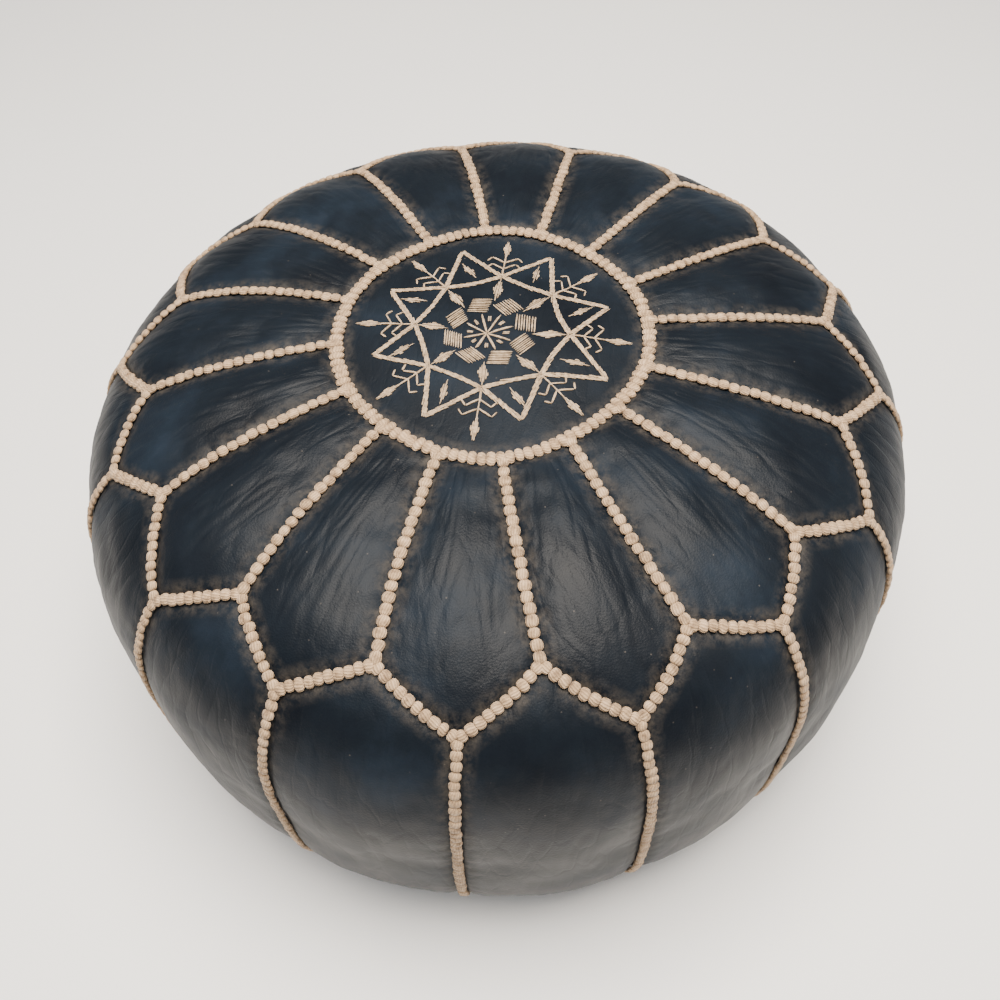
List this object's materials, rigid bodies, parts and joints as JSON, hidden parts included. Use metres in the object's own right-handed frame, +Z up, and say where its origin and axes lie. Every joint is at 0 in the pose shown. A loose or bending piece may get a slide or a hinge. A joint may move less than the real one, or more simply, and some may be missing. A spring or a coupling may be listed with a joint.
{
  "type": "leather pouf",
  "caption": "Round stuffed leather floor pouf with a petal-panelled top, embroidered centre, thick hand-stitched seams and a zipped base.",
  "frame": {"origin": "centre of the footprint, on the floor", "axes": "+Z up through the crown; -Y points to the front, along the middle of a petal; +X is along the zip, to its closed end"},
  "size_m": [0.5318, 0.5318, 0.2985],
  "materials": {
    "goatskin": "satin, hand-dyed and waxed",
    "seam_thread": "twisted cotton, matte",
    "embroidery_thread": "twisted rayon, slight sheen",
    "lining_cotton": "plain-woven cotton, matte",
    "stuffing": "loose fibre and fabric offcuts",
    "zip_tape": "woven polyester tape",
    "zip_coil": "moulded nylon",
    "zip_metal": "antiqued, satin"
  },
  "bodies": {
    "pouf": {"medallion": "goatskin", "petal_01": "goatskin", "petal_02": "goatskin", "petal_03": "goatskin", "petal_04": "goatskin", "petal_05": "goatskin", "petal_06": "goatskin", "petal_07": "goatskin", "petal_08": "goatskin", "petal_09": "goatskin", "petal_10": "goatskin", "petal_11": "goatskin", "petal_12": "goatskin", "petal_13": "goatskin", "petal_14": "goatskin", "petal_15": "goatskin", "petal_16": "goatskin", "side_panel_01": "goatskin", "side_panel_02": "goatskin", "side_panel_03": "goatskin", "side_panel_04": "goatskin", "side_panel_05": "goatskin", "side_panel_06": "goatskin", "side_panel_07": "goatskin", "side_panel_08": "goatskin", "side_panel_09": "goatskin", "side_panel_10": "goatskin", "side_panel_11": "goatskin", "side_panel_12": "goatskin", "side_panel_13": "goatskin", "side_panel_14": "goatskin", "side_panel_15": "goatskin", "side_panel_16": "goatskin", "base_panel_front": "goatskin", "base_panel_rear": "goatskin", "petal_stitching": "seam_thread", "zigzag_stitching": "seam_thread", "side_stitching": "seam_thread", "medallion_embroidery": "embroidery_thread", "lining_bag": "lining_cotton", "filling": "stuffing", "zip_tape_front": "zip_tape", "zip_tape_rear": "zip_tape", "zip_coil_front": "zip_coil", "zip_coil_rear": "zip_coil", "zip_stop_closed_end": "zip_metal", "zip_stop_open_end": "zip_metal"},
    "slider": {"zip_slider": "zip_metal"},
    "pull": {"zip_pull_tab": "zip_metal"}
  },
  "joints": [
    {"name": "zip_slide", "type": "slide", "parent": "pouf", "child": "slider", "axis": [-1, 0, 0], "range_m": [0, 0.236]},
    {"name": "pull_swing", "type": "hinge", "parent": "slider", "child": "pull", "pos_m": [0.122, 0, 0.0051], "axis": [0, -1, 0], "range_deg": [0, 180]}
  ]
}
